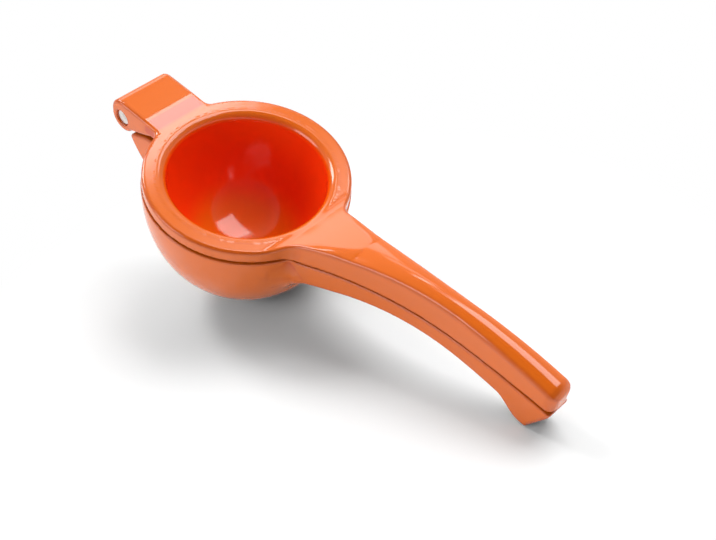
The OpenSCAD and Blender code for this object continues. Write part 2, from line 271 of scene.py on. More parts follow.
def under_z(x):
    end_z = seam_z(np.array(mm("handle_end"))) - mm("seam_gap") - END_T
    start, toe, back = HEEL_X - HEEL_RUN, HEEL_X - HEEL_FOOT, HEEL_X + HEEL_FOOT
    belly = arch(x, BELLY)
    at_start = arch(np.array(start), BELLY)
    slope = at_start + (HEEL_H - at_start) * ease((x - start) / (toe - start))
    tail = HEEL_H + (end_z - HEEL_H) * (x - back) / (mm("handle_end") - back)
    return np.where(x < start, belly, np.where(x < back, slope, tail))


def steepness(curve, x):
    """Length of a curve over one millimetre of x."""
    rise = curve(x + SLOPE_STEP) - curve(x - SLOPE_STEP)
    return np.sqrt(1 + (rise / (2 * SLOPE_STEP)) ** 2)


# -------- distances
# A field is negative inside the metal and grows as a distance outside it.

def meet(a, b, r):
    """Inside both, with the edge between them rolled to radius r."""
    return (np.minimum(np.maximum(a, b), -r)
            + np.hypot(np.maximum(a + r, 0), np.maximum(b + r, 0)))


def join(a, b, r):
    """Inside either, with a fillet of radius r between them."""
    return (np.maximum(np.minimum(a, b), r)
            - np.hypot(np.maximum(r - a, 0), np.maximum(r - b, 0)))


def polygon_distance(x, z, points):
    """Signed distance to a closed outline in the side view."""
    best = np.full(x.shape, 1e9)
    sign = np.ones(x.shape)
    for i, (ax, az) in enumerate(points):
        bx, bz = points[i - 1]
        ex, ez = bx - ax, bz - az
        wx, wz = x - ax, z - az
        t = np.clip((wx * ex + wz * ez) / (ex * ex + ez * ez), 0, 1)
        best = np.minimum(best, (wx - ex * t) ** 2 + (wz - ez * t) ** 2)
        above, below = z >= az, z < bz
        left = ex * wz > ez * wx
        flip = (above & below & left) | (~above & ~below & ~left)
        sign = np.where(flip, -sign, sign)
    return sign * np.sqrt(best)


def cup_distance(x, y, z, r, depth, power, top):
    """Distance to a cup's rounded outside; above top it runs on as a straight collar."""
    rho = np.hypot(x, y)
    h = np.maximum(top - z, 0.0)
    k = ((rho / r) ** power + (h / depth) ** power) ** (1 / power)
    k = np.maximum(k, 1e-6)
    gr = (rho / r) ** (power - 1) / r
    gh = (h / depth) ** (power - 1) / depth
    slope = np.hypot(gr, gh) * k ** (1 - power)
    # the slope runs out in the middle of the mouth, so it is held at a fifth of the wall's
    return (k - 1) / np.maximum(slope, 0.2 / r)


def slab(y, half):
    return np.abs(y) - half


# -------- castings

def plate_top(x, y, w):
    """Height of the upper casting's top: flat ring, tongue up the neck, crowned handle."""
    flat = flat_w(x, w)
    u = np.clip((np.abs(y) - flat) / np.maximum(w - flat, 0.5), 0, 1.2)
    return crown_z(x) - CROWN_RISE * neck_share(x) * u * u


def side_and_top(x, y, z, w):
    """The shared outline, met by the top with a roll round its edge."""
    ring_r = mm("ring_radius")
    side = (np.abs(y) - w) / steepness(lambda u: plan_w(u, ring_r), x)
    top = plate_top(x, y, w)
    ahead = plate_top(x + SLOPE_STEP, y, plan_w(x + SLOPE_STEP, ring_r))
    along = (ahead - top) / SLOPE_STEP
    across = (plate_top(x, np.abs(y) + SLOPE_STEP, w) - top) / SLOPE_STEP
    rise = (z - top) / np.sqrt(1 + along ** 2 + across ** 2)
    edge = mm("edge_round")
    return meet(side, rise, edge + (CROWN_ROUND - edge) * neck_share(x))


def pin_spot():
    """The pin's centre in the side view."""
    return -mm("pin_behind"), -mm("pin_below")


def ear_front(r):
    """The low and the high point of the front of ears that end in a round of radius r."""
    (px, pz), t = pin_spot(), mm("ring_thickness")
    return (px + r, pz - r + EAR_TOE), (-CREASE_X + EAR_ROOT_X, -t - EAR_ROOT_Z)


def ear_outline(x, z):
    """Side view of the hood and ears."""
    (px, pz), r = pin_spot(), mm("ear_radius")
    ring_r, t = mm("ring_radius"), mm("ring_thickness")
    low, high = pz, -r - HOOD_DROP
    r -= EAR_TRIM
    end = np.hypot(x - px, z - np.clip(z, low, high)) - r
    root = -ring_r + ROOT_IN
    body = polygon_distance(x, z, [
        (-CREASE_X, 0), (px, -HOOD_DROP), (px, pz - r), *ear_front(r),
        (-bowl_radius() - mm("seam_gap"), -t), (root, -t), (root, 0)])
    return np.minimum(end, body)


def rolled_end(plate, x, y, w):
    """The upper handle's end, which rolls over into the crown and less into the sides."""
    past = x - mm("handle_end")
    roll = np.hypot(np.maximum(past + END_ROUND, 0),
                    np.maximum(plate + END_ROUND, 0)) - END_ROUND
    corner = meet(past, slab(y, w), END_CORNER)
    end = np.maximum(np.where(plate > -END_ROUND, roll, past), corner)
    return np.where(x > mm("handle_end") - END_ROUND, end, plate)


def tongue_slot(x, y, z):
    """Room between the ears for the tongue, at rest and as the press opens."""
    (px, pz), t = pin_spot(), mm("ring_thickness")
    front = -mm("ring_radius") + 3
    fan = polygon_distance(x, z, [
        (px, pz), (px - SLOT_BACK, pz + SLOT_UP), (px - SLOT_REACH, -SLOT_REACH),
        (front, -SLOT_REACH), (front, -t), (px, -t)])
    slot = np.minimum(np.hypot(x - px, z - pz) - (TONGUE_R + TONGUE_GAP), fan)
    return np.maximum(slot, slab(y, mm("hinge_width") / 2 - mm("ear_thickness")))


def pin_bore(x, z):
    px, pz = pin_spot()
    return np.hypot(x - px, z - pz) - mm("pin_diameter") / 2


def upper_press_field(x, y, z):
    ring_r, edge = mm("ring_radius"), mm("edge_round")
    wall, end_x = mm("handle_wall"), mm("handle_end")
    w = plan_w(x, ring_r)
    plate = rolled_end(side_and_top(x, y, z, w), x, y, w)
    plate = meet(plate, (seam_z(x) - z) / steepness(seam_z, x), 0.5)
    plate = np.maximum(plate, -CREASE_X + 1 - x)
    hinge = meet(slab(y, mm("hinge_width") / 2), ear_outline(x, z), edge)
    body = join(plate, hinge, 0.05)
    r = mm("mouth_radius")
    depth = mm("cup_depth") + mm("cup_wall")
    cup = cup_distance(x, y, z, r + mm("cup_wall"), depth, CUP_POWER, -edge)
    body = join(body, np.maximum(cup, z + edge), CUP_JOIN)
    # the ring's face slopes down to the lip before it rolls over
    rake = math.radians(LIP_SLOPE)
    bevel = (z + (r + LIP_BEVEL - np.hypot(x, y)) * math.tan(rake)) * math.cos(rake)
    body = soft_max(body, bevel, LIP_SOFT)
    lip = mm("lip_round")
    hollow = cup_distance(x, y, z, r, mm("cup_depth") - lip, CUP_POWER, -lip)
    body = meet(body, -hollow, lip)
    body = meet(body, -tongue_slot(x, y, z), 0.4)
    body = meet(body, -pin_bore(x, z), 0.35)
    # hollow underside of the handle
    inner = np.maximum(slab(y, w - wall), z - (crown_z(x) - wall - CORE_GAP))
    inner = np.maximum(inner, np.maximum(ring_r + 3 * wall - x, x - end_x + wall))
    return meet(body, -inner, 0.5)


def lower_w(x, z):
    """Half width of the lower handle, narrowing from the seam to the underside."""
    plan = plan_w(x, bowl_radius() - mm("bowl_wall") / 2)
    top, low = seam_z(x), under_z(x)
    share = np.clip((top - z) / np.maximum(top - low, 1), 0, 1)
    return plan + (spine_w(x) - plan) * share


def lower_handle(x, y, z):
    """The lower handle, whose lower edge is rounder where it leaves the bowl."""
    # the side's lean along the handle, and over one millimetre of height
    lean = np.hypot(steepness(lambda u: lower_w(u, z), x),
                    lower_w(x, z + 0.5) - lower_w(x, z - 0.5))
    side = (np.abs(y) - lower_w(x, z)) / lean
    roll = mm("edge_round") + ROLL_MORE * ease((ROLL_X - x) / ROLL_RUN)
    handle = meet(side, (under_z(x) - z) / steepness(under_z, x), roll)
    handle = meet(handle, x - mm("handle_end"), 1.0)
    return np.maximum(handle, mm("ring_radius") / 2 - x)


def bracket_outline(x, z, rim):
    """Side view of the bracket under the ears, whose back is a curve from tip to bowl."""
    (px, pz), ring_r = pin_spot(), mm("ring_radius")
    ear_r = mm("ear_radius")
    low, high = ear_front(ear_r)
    out = ear_r + BRACKET_GAP
    ax, az = px + out * math.cos(TIP_ANGLE), pz - out * math.sin(TIP_ANGLE)
    cx, cz = -ring_r / 2 - 2, pz - BRACKET_FOOT
    bx, bz = (ax + cx) / 2 - BRACKET_BELLY, (az + cz) / 2
    back = []
    for i in range(BRACKET_STEPS + 1):
        s = i / BRACKET_STEPS
        back.append(((1 - s) ** 2 * ax + 2 * s * (1 - s) * bx + s * s * cx,
                     (1 - s) ** 2 * az + 2 * s * (1 - s) * bz + s * s * cz))
    return polygon_distance(x, z, [
        (-ring_r + ROOT_IN, rim - ROOT_IN), (high[0], high[1] - BRACKET_GAP),
        (low[0], low[1] - BRACKET_GAP), *back])


def tongue_outline(x, z, rim):
    """Side view of the tongue that turns on the pin."""
    (px, pz), root = pin_spot(), -mm("ring_radius") + ROOT_IN
    neck = polygon_distance(x, z, [
        (px, pz), (px + TONGUE_R, rim), (root, rim), (root, pz - TONGUE_R), (px, pz - TONGUE_R)])
    return np.minimum(np.hypot(x - px, z - pz) - TONGUE_R, neck)


def strainer_bowl_field(x, y, z):
    ring_r, bowl_r = mm("ring_radius"), bowl_radius()
    wall, bowl_wall = mm("handle_wall"), mm("bowl_wall")
    depth, half = mm("bowl_depth"), mm("hinge_width") / 2
    rim = -mm("ring_thickness") - mm("seam_gap")
    bowl = cup_distance(x, y, z, bowl_r, depth, BOWL_POWER, rim)
    bowl = np.where(x < 0, np.maximum(bowl, z - rim), bowl)
    # bowl and handle melt into each other more and more below the seam
    soft = MELT_LEAST + MELT_MORE * ease((x - MELT_X) / MELT_RUN) * ease((rim - z) / MELT_DROP)
    body = -soft_max(-bowl, -lower_handle(x, y, z), soft)
    body = join(body, meet(slab(y, half), bracket_outline(x, z, rim), 1.0), 2.5)
    tongue_w = half - mm("ear_thickness") - TONGUE_GAP
    body = join(body, meet(slab(y, tongue_w), tongue_outline(x, z, rim), 0.6), 0.4)
    top = (z - seam_z(x) + mm("seam_gap")) / steepness(seam_z, x)
    cover = np.where(x > ring_r / 2, top, np.where(x < -ring_r + 2.5, -1e3, z - rim))
    body = meet(body, cover, 0.6)
    inner = cup_distance(x, y, z, bowl_r - bowl_wall, depth - bowl_wall, BOWL_POWER, rim)
    body = meet(body, -inner, 0.8)
    # hollow top of the handle
    channel = np.maximum(slab(y, spine_w(x) - wall), arch(x, BELLY) + wall + CORE_GAP - z)
    channel = np.maximum(channel, np.maximum(ring_r + 2 * wall - x, x - HEEL_X + HEEL_FOOT))
    body = meet(body, -channel, 0.5)
    body = meet(body, -(pin_bore(x, z) - PIN_PLAY), 0.2)
    # ground flats that the press rests on
    row_z = (rest_matrix() @ np.array([x, y, z, np.ones_like(x)]).reshape(4, -1))[2]
    return meet(body, -row_z.reshape(x.shape), 0.15)


# -------- rest on the table

# Filled by rest_matrix at its first call.
REST = {}


def rest_matrix():
    """The turn and shift, in millimetres, that lay the press on its bowl and heel."""
    if "value" in REST:
        return REST["value"]
    bowl_r, depth = bowl_radius(), mm("bowl_depth")
    rim = -mm("ring_thickness") - mm("seam_gap")
    a = np.radians(np.linspace(0, 90, 1441))
    px = bowl_r * np.maximum(np.cos(a), 0) ** (2 / BOWL_POWER)
    pz = rim - depth * np.sin(a) ** (2 / BOWL_POWER)
    # halve the range of tilts until bowl and heel touch the table together
    low, high = 5.0, 45.0
    for _ in range(40):
        tilt = math.radians((low + high) / 2)
        s, c = math.sin(tilt), math.cos(tilt)
        if (HEEL_X + HEEL_FOOT) * s - HEEL_H * c > (px * s - pz * c).max():
            high = math.degrees(tilt)
        else:
            low = math.degrees(tilt)
    centre = PIN_CENTRE / MM
    bx, bz = mm("pin_behind"), mm("pin_below")
    REST["value"] = np.array([
        [c, 0, s, centre.x + bx * c + bz * s],
        [0, 1, 0, 0],
        [-s, 0, c, centre.z - bx * s + bz * c],
        [0, 0, 0, 1]])
    return REST["value"]


# -------- meshing

CORNERS = [(i, j, k) for i in (0, 1) for j in (0, 1) for k in (0, 1)]

# The bends at which the enamel is thinnest over an edge and deepest in a corner.
EDGE_BEND, CORNER_BEND = 0.9, 0.5

# Slices sampled at once, steps in which points settle, and passes that even them out.
SLICES, SETTLE_STEPS, EVEN_PASSES = 24, 4, 3


def sample(field, axes):
    values = np.empty([len(a) for a in axes], np.float32)
    for i in range(0, len(axes[0]), SLICES):
        x, y, z = np.meshgrid(axes[0][i:i + SLICES], axes[1], axes[2], indexing="ij")
        values[i:i + SLICES] = field(x, y, z)
    return values


def slope_of(field, p, h=0.02):
    g = np.empty_like(p)
    for axis in range(3):
        d = np.zeros(3)
        d[axis] = h
        g[:, axis] = (field(*(p + d).T) - field(*(p - d).T)) / (2 * h)
    return g


def settle(field, p, step):
    """Moves points onto the surface along its slope."""
    for _ in range(SETTLE_STEPS):
        g = slope_of(field, p)
        size = np.maximum((g * g).sum(1), 1e-4)
        move = np.clip(field(*p.T) / np.sqrt(size), -step / 2, step / 2)
        p = p - g * (move / np.sqrt(size))[:, None]
    return p


def skin(field, low, high, step):
    """Wraps a field in one even closed quad mesh, and returns its points and faces."""
    axes = [np.arange(l, h + step, step) for l, h in zip(low, high)]
    f = sample(field, axes)
    inside = f < 0
    nx, ny, nz = (n - 1 for n in f.shape)
    count = sum(inside[i:i + nx, j:j + ny, k:k + nz].astype(np.int8) for i, j, k in CORNERS)
    cells = np.argwhere((count > 0) & (count < 8))
    index = np.full((nx, ny, nz), -1, np.int64)
    index[tuple(cells.T)] = np.arange(len(cells))
    values = {c: f[tuple((cells + c).T)] for c in CORNERS}
    total = np.zeros((len(cells), 3))
    hits = np.zeros(len(cells))
    for a in CORNERS:
        for axis in range(3):
            if a[axis]:
                continue
            b = tuple(1 if n == axis else v for n, v in enumerate(a))
            cross = (values[a] < 0) != (values[b] < 0)
            t = values[a][cross] / (values[a][cross] - values[b][cross])
            spot = np.tile(np.array(a, float), (len(t), 1))
            spot[:, axis] = t
            total[cross] += spot
            hits[cross] += 1
    points = np.array(low) + (cells + total / hits[:, None]) * step
    faces = []
    for axis in range(3):
        u, v = (axis + 1) % 3, (axis + 2) % 3
        size = [nx, ny, nz]
        first = [slice(1, size[n]) for n in range(3)]
        first[axis] = slice(0, size[axis])
        second = list(first)
        second[axis] = slice(1, size[axis] + 1)
        a, b = inside[tuple(first)], inside[tuple(second)]
        at = np.argwhere(a != b)
        out = a[tuple(at.T)]
        base = at.copy()
        base[:, u] += 1
        base[:, v] += 1
        ring = []
        for du, dv in ((-1, -1), (0, -1), (0, 0), (-1, 0)):
            cell = base.copy()
            cell[:, u] += du
            cell[:, v] += dv
            ring.append(index[tuple(cell.T)])
        quads = np.stack(ring, 1)
        quads[~out] = quads[~out][:, ::-1]
        faces.append(quads)
    faces = np.concatenate(faces)
    edges = np.concatenate([faces[:, [i, (i + 1) % 4]] for i in range(4)])
    points = settle(field, points, step)
    for _ in range(EVEN_PASSES):
        mean = np.zeros_like(points)
        near = np.zeros(len(points))
        np.add.at(mean, edges[:, 0], points[edges[:, 1]])
        np.add.at(near, edges[:, 0], 1)
        points = settle(field, 0.5 * points + 0.5 * mean / near[:, None], step)
    return points, faces


def bend_of(field, p, h=0.7):
    """How sharply the surface bends: positive over an edge, negative in a corner."""
    total = -6 * field(*p.T)
    for axis in range(3):
        d = np.zeros(3)
        d[axis] = h
        total = total + field(*(p + d).T) + field(*(p - d).T)
    return total / (h * h)


def add_object(name, data):
    item = bpy.data.objects.new(name, data)
    bpy.context.scene.collection.objects.link(item)
    return item


def bmesh_object(name, bm):
    """Turns a bmesh into an object in the scene, and frees it."""
    mesh = bpy.data.meshes.new(name)
    bm.to_mesh(mesh)
    bm.free()
    return add_object(name, mesh)


def cast_object(name, points, faces):
    """Makes a smooth mesh object from points drawn about the ring's centre."""
    m = rest_matrix()
    rows = (points @ m[:3, :3].T + m[:3, 3]) * MM
    mesh = bpy.data.meshes.new(name)
    mesh.from_pydata(rows.tolist(), [], faces.tolist())
    mesh.update()
    mesh.shade_smooth()
    return add_object(name, mesh)


def inner_share(x, y, z):
    """1 on the inside of the press cup and 0 outside it, with a soft step under the lip."""
    r, depth = mm("mouth_radius"), mm("cup_depth")
    gap = np.abs(cup_distance(x, y, z, r, depth, CUP_POWER, -mm("lip_round")))
    # whole within 0.6 mm of the inside and gone at 1.4, from 3.6 mm below the ring's face down
    return ease((1.4 - gap) / 0.8) * ease((-z - 0.6) / 3.0)


def casting(name, field, low, high):
    """One casting, found between two corners, with masks for its finish and for the painted glow in
    its cup, and with its own normals.
    """
    points, faces = skin(field, low, high, mm("mesh_step"))
    piece = cast_object(name, points, faces)
    bend = bend_of(field, points)
    slope = slope_of(field, points)
    slope = slope / np.linalg.norm(slope, axis=1)[:, None]
    normals = slope @ rest_matrix()[:3, :3].T
    cup = inner_share(*points.T)
    layers = {"edge": np.clip(bend / EDGE_BEND, 0, 1),
              "corner": np.clip(-bend / CORNER_BEND, 0, 1),
              "cup": cup,
              "under": ease(0.6 - 2 * normals[:, 2]) * (1 - cup)}
    for layer, value in layers.items():
        attribute = piece.data.attributes.new(layer, "FLOAT", "POINT")
        attribute.data.foreach_set("value", value.astype(np.float32))
    piece.data.normals_split_custom_set_from_vertices(normals.tolist())
    return piece


# -------- materials

# The enamel's refraction, and the shade and the depth, in metres, of the turned pin's grooves.
ENAMEL_IOR = 1.57
GROOVE_SHADE, GROOVE_DEPTH = 0.7, 0.00002


def new_group(name, tree, inputs, output):
    """A node group with its nodes, its links and its two ends; a socket is a name, a kind and
    for some a default."""
    group = bpy.data.node_groups.new(name, tree)
    for way, (label, kind, *default) in [("INPUT", i) for i in inputs] + [("OUTPUT", output)]:
        item = group.interface.new_socket(name=label, in_out=way, socket_type="NodeSocket" + kind)
        if default:
            item.default_value = default[0]
    n = group.nodes
    return group, n, group.links.new, n.new("NodeGroupInput"), n.new("NodeGroupOutput")


def node(nodes, kind, values=None, **settings):
    """Adds a node with its settings, and with values on its inputs."""
    item = nodes.new(kind)
    for name, value in settings.items():
        setattr(item, name, value)
    for name, value in (values or {}).items():
        item.inputs[name].default_value = value
    return item


def maths(nodes, link, operation, *terms):
    """Adds a maths node whose terms are numbers or other nodes' outputs."""
    item = node(nodes, "ShaderNodeMath", operation=operation)
    for k, term in enumerate(terms):
        if isinstance(term, bpy.types.NodeSocket):
            link(term, item.inputs[k])
        else:
            item.inputs[k].default_value = term
    return item.outputs[0]


def blend(nodes, link, share, a, b):
    """Mixes two colours, each a plain one or another node's output."""
    item = node(nodes, "ShaderNodeMix", data_type="RGBA")
    link(share, item.inputs["Factor"])
    for name, value in (("A", a), ("B", b)):
        if isinstance(value, bpy.types.NodeSocket):
            link(value, item.inputs[name])
        else:
            item.inputs[name].default_value = (*value, 1)
    return item.outputs["Result"]


def mask(nodes, name):
    """One of the masks that casting lays over a piece."""
    return node(nodes, "ShaderNodeAttribute", attribute_name=name).outputs["Fac"]


def orange_peel_group():
    """Long soft waves in a glossy coat."""
    group, n, link, start, end = new_group(
        "Orange Peel", "ShaderNodeTree",
        [("Vector", "Vector"), ("Wave Size", "Float", 0.004), ("Wave Height", "Float", 0.00005)],
        ("Normal", "Vector"))
    scale = maths(n, link, "DIVIDE", 1.0, start.outputs["Wave Size"])
    waves = node(n, "ShaderNodeTexNoise", {"Detail": 1.0, "Roughness": 0.35})
    link(start.outputs["Vector"], waves.inputs["Vector"])
    link(scale, waves.inputs["Scale"])
    bump = n.new("ShaderNodeBump")
    link(start.outputs["Wave Height"], bump.inputs["Distance"])
    link(waves.outputs["Fac"], bump.inputs["Height"])
    link(bump.outputs["Normal"], end.inputs["Normal"])
    return group


def coat_colour_group():
    """Coat colour that thins over edges, pools in corners and drifts slowly in between."""
    group, n, link, start, end = new_group(
        "Coat Colour", "ShaderNodeTree",
        [("Coat", "Color"), ("Edge Coat", "Color"), ("Pool Coat", "Color"), ("Edge", "Float"),
         ("Corner", "Float"), ("Vector", "Vector"), ("Drift", "Float", 0.06)],
        ("Color", "Color"))
    patches = node(n, "ShaderNodeTexNoise", {"Scale": 40.0, "Detail": 3.0})
    link(start.outputs["Vector"], patches.inputs["Vector"])
    drift = maths(n, link, "MULTIPLY", patches.outputs["Fac"], start.outputs["Drift"])
    base = blend(n, link, drift, start.outputs["Coat"], start.outputs["Pool Coat"])
    pooled = blend(n, link, start.outputs["Corner"], base, start.outputs["Pool Coat"])
    # the thin coat over an edge is broken up a little
    broken = node(n, "ShaderNodeTexNoise", {"Scale": 260.0, "Detail": 2.0})
    link(start.outputs["Vector"], broken.inputs["Vector"])
    ragged = node(n, "ShaderNodeMapRange", {"From Min": 0.3, "From Max": 0.7, "To Min": 0.65})
    link(broken.outputs["Fac"], ragged.inputs["Value"])
    thin = maths(n, link, "MULTIPLY", start.outputs["Edge"], ragged.outputs["Result"])
    link(blend(n, link, thin, pooled, start.outputs["Edge Coat"]), end.inputs["Color"])
    return group


def new_material(name):
    material = bpy.data.materials.new(name)
    material.use_nodes = True
    return material, material.node_tree.nodes, material.node_tree.links.new


def enamel_material():
    finish = bpy.context.scene.press_finish
    if "Glossy Enamel" in bpy.data.materials:
        return bpy.data.materials["Glossy Enamel"]
    material, n, link = new_material("Glossy Enamel")
    shader = n["Principled BSDF"]
    shader.inputs["Roughness"].default_value = finish.enamel_roughness
    shader.inputs["IOR"].default_value = ENAMEL_IOR
    place = n.new("ShaderNodeTexCoord")
    coat = node(n, "ShaderNodeGroup", node_tree=coat_colour_group())
    coat.inputs["Coat"].default_value = (*finish.enamel, 1)
    coat.inputs["Edge Coat"].default_value = (*finish.enamel_edge, 1)
    coat.inputs["Pool Coat"].default_value = (*finish.enamel_pool, 1)
    link(place.outputs["Object"], coat.inputs["Vector"])
    link(mask(n, "edge"), coat.inputs["Edge"])
    link(mask(n, "corner"), coat.inputs["Corner"])
    # painted glow: inside the press cup the coat turns a deeper, brighter red that stands in for
    # light bouncing round the cup
    with_cup_glow = blend(n, link, mask(n, "cup"), coat.outputs["Color"], finish.painted_cup_glow)
    # the table's shadow stays grey: its diffuse rays find the underside without its colour
    rays = n.new("ShaderNodeLightPath")
    bounced = maths(n, link, "MULTIPLY", rays.outputs["Is Diffuse Ray"], mask(n, "under"))
    grey = blend(n, link, bounced, with_cup_glow, finish.enamel_bounce)
    link(grey, shader.inputs["Base Color"])
    peel = node(n, "ShaderNodeGroup", node_tree=orange_peel_group())
    peel.inputs["Wave Size"].default_value = finish.peel_size
    peel.inputs["Wave Height"].default_value = finish.peel_height
    link(place.outputs["Object"], peel.inputs["Vector"])
    link(peel.outputs["Normal"], shader.inputs["Normal"])
    return material


def pin_material():
    steel = bpy.context.scene.press_finish.steel
    material, n, link = new_material("Turned Steel")
    shader = n["Principled BSDF"]
    shader.inputs["Metallic"].default_value = 1.0
    shader.inputs["Roughness"].default_value = 0.32
    place = n.new("ShaderNodeTexCoord")
    centre = node(n, "ShaderNodeMapping", {"Location": -PIN_CENTRE})
    link(place.outputs["Object"], centre.inputs["Vector"])
    rings = node(n, "ShaderNodeTexWave", {"Scale": 900.0, "Distortion": 1.5},
                 wave_type="RINGS", rings_direction="Y")
    link(centre.outputs["Vector"], rings.inputs["Vector"])
    groove = [GROOVE_SHADE * c for c in steel]
    link(blend(n, link, rings.outputs["Fac"], steel, groove), shader.inputs["Base Color"])
    bump = node(n, "ShaderNodeBump", {"Distance": GROOVE_DEPTH})
    link(rings.outputs["Fac"], bump.inputs["Height"])
    link(bump.outputs["Normal"], shader.inputs["Normal"])
    return material


# -------- drain holes

# The middle hole counts as a row.
DRAIN_ROWS = 3


def drain_drill_group():
    """Rings of drills round a middle one, each ring six drills richer than the last."""
    group, n, link, start, end = new_group(
        "Drain Drills", "GeometryNodeTree",
        [("Geometry", "Geometry"), ("Pitch", "Float", 0.008), ("Diameter", "Float", 0.004),
         ("Length", "Float", 0.02), ("Material", "Material")],
        ("Geometry", "Geometry"))
    group.is_modifier = True
    places = n.new("GeometryNodeJoinGeometry")
    for row in range(DRAIN_ROWS):
        count = max(6 * row, 1)
        radius = maths(n, link, "MULTIPLY", start.outputs["Pitch"], row)
        line = node(n, "GeometryNodeMeshLine", {"Count": count, "Offset": (0, 0, 0)})
        number = n.new("GeometryNodeInputIndex")
        # each ring starts half a step round
        turn = maths(n, link, "MULTIPLY_ADD", number.outputs[0], 2 * math.pi / count,
                     math.pi / count)
        spot = n.new("ShaderNodeCombineXYZ")
        for axis, wave in (("X", "COSINE"), ("Y", "SINE")):
            share = maths(n, link, wave, turn)
            link(maths(n, link, "MULTIPLY", share, radius), spot.inputs[axis])
        position = n.new("GeometryNodeSetPosition")
        link(line.outputs["Mesh"], position.inputs["Geometry"])
        link(spot.outputs["Vector"], position.inputs["Position"])
        link(position.outputs["Geometry"], places.inputs["Geometry"])
    drill = node(n, "GeometryNodeMeshCylinder", {"Vertices": 32})
    link(maths(n, link, "MULTIPLY", start.outputs["Diameter"], 0.5), drill.inputs["Radius"])
    link(start.outputs["Length"], drill.inputs["Depth"])
    put = n.new("GeometryNodeInstanceOnPoints")
    link(places.outputs["Geometry"], put.inputs["Points"])
    link(drill.outputs["Mesh"], put.inputs["Instance"])
    real = n.new("GeometryNodeRealizeInstances")
    link(put.outputs["Instances"], real.inputs["Geometry"])
    paint = n.new("GeometryNodeSetMaterial")
    link(real.outputs["Geometry"], paint.inputs["Geometry"])
    link(start.outputs["Material"], paint.inputs["Material"])
    link(paint.outputs["Geometry"], end.inputs["Geometry"])
    return group


def plain_mesh(piece, name):
    """The evaluated result of a piece's modifiers, as a mesh of its own."""
    bpy.context.view_layer.update()
    evaluated = piece.evaluated_get(bpy.context.evaluated_depsgraph_get())
    mesh = bpy.data.meshes.new_from_object(evaluated)
    mesh.name = name
    return mesh


def drain_drills(material):
    shape = bpy.context.scene.press_shape
    base = add_object("drain_drills", bpy.data.meshes.new("drain_drills"))
    group = drain_drill_group()
    modifier = base.modifiers.new("Drills", "NODES")
    modifier.node_group = group
    names = {i.name: i.identifier for i in group.interface.items_tree
             if i.item_type == "SOCKET" and i.in_out == "INPUT"}
    modifier[names["Pitch"]] = shape.drain_pitch
    modifier[names["Diameter"]] = shape.drain_diameter
    modifier[names["Length"]] = 0.5 * shape.bowl_depth
    modifier[names["Material"]] = material
    mesh = plain_mesh(base, "drain_drills")
    bpy.data.objects.remove(base)
    m = Matrix(rest_matrix().tolist())
    m.translation = m.translation * MM
    rim = -shape.ring_thickness - shape.seam_gap
    mesh.transform(m @ Matrix.Translation((0, 0, rim - shape.bowl_depth)))
    return add_object("drain_drills", mesh)


# -------- hinge pin

# The roll of the pin's ends, in metres, and the sides of the pin's mesh.
PIN_ROUND, PIN_STEPS = 0.0006, 96


def pin_profile(shape):
    """Radius and place along the pin, in metres, from one end's shallow dimple to the other's."""
    half, r = shape.hinge_width / 2 - shape.pin_sunk, shape.pin_diameter / 2
    profile = [(0.0, -half + 0.0003), (r * 0.35, -half + 0.0002), (r * 0.6, -half)]
    for i in range(7):
        a = math.radians(i * 15)
        profile.append((r - PIN_ROUND + PIN_ROUND * math.sin(a),
                        -half + PIN_ROUND - PIN_ROUND * math.cos(a)))
    return profile + [(px, -py) for px, py in reversed(profile)]


# -------- operators

class PRESS_OT_upper_press(bpy.types.Operator):
    """Build the upper casting: ring, press cup, hood, ears and upper handle"""
    bl_idname = "press.upper_press"
    bl_label = "Upper Press"

    def execute(self, context):
        piece = casting("enamel_upper_press", upper_press_field, (-68, -42, -46), (151.5, 42, 25.5))
        piece.data.materials.append(enamel_material())
        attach(piece, PRESS_BODY)
        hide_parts("upper_press")
        return {"FINISHED"}


class PRESS_OT_strainer_bowl(bpy.types.Operator):
    """Build the lower casting: bowl with drain holes, bracket, tongue and lower handle"""
    bl_idname = "press.strainer_bowl"
    bl_label = "Strainer Bowl"

    def execute(self, context):
        piece = casting("enamel_strainer_bowl", strainer_bowl_field, (-68, -42, -57), (151.5, 42, 15))
        piece.data.materials.append(enamel_material())
        drills = drain_drills(enamel_material())
        cut = piece.modifiers.new("Drain Holes", "BOOLEAN")
        cut.operation = "DIFFERENCE"
        cut.solver = "EXACT"
        cut.object = drills
        mesh = plain_mesh(piece, "enamel_strainer_bowl")
        piece.modifiers.clear()
        piece.data = mesh
        bpy.data.objects.remove(drills)
        if len(mesh.polygons) < 1000:
            raise RuntimeError("the drain holes removed the bowl")
        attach(piece, BOWL_BODY)
        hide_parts("strainer_bowl")
        return {"FINISHED"}


class PRESS_OT_hinge_pin(bpy.types.Operator):
    """Build the steel pin that is pressed into the two ears"""
    bl_idname = "press.hinge_pin"
    bl_label = "Hinge Pin"

    def execute(self, context):
        bm = bmesh.new()
        rows = []
        for r, y in pin_profile(context.scene.press_shape):
            angles = [2 * math.pi * i / PIN_STEPS for i in range(PIN_STEPS)] if r else [0.0]
            rows.append([bm.verts.new((r * math.cos(t), y, r * math.sin(t))) for t in angles])
        for a, b in zip(rows, rows[1:]):
            for i in range(PIN_STEPS):
                j = (i + 1) % PIN_STEPS
                corners = [a[i % len(a)], a[j % len(a)], b[j % len(b)], b[i % len(b)]]
                bm.faces.new(list(dict.fromkeys(corners)))
        bmesh.ops.recalc_face_normals(bm, faces=bm.faces)
        bmesh.ops.translate(bm, verts=bm.verts, vec=PIN_CENTRE)
        piece = bmesh_object("steel_hinge_pin", bm)
        piece.data.shade_smooth()
        piece.data.materials.append(pin_material())
        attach(piece, PRESS_BODY)
        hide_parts("hinge_pin")
        return {"FINISHED"}


# -------- studio

# The small softbox that the ring mirrors: its place about the ring, and its size.
RING_SOFTBOX, RING_SOFTBOX_SIZE = (-998, 778, 1200), (184, 336)

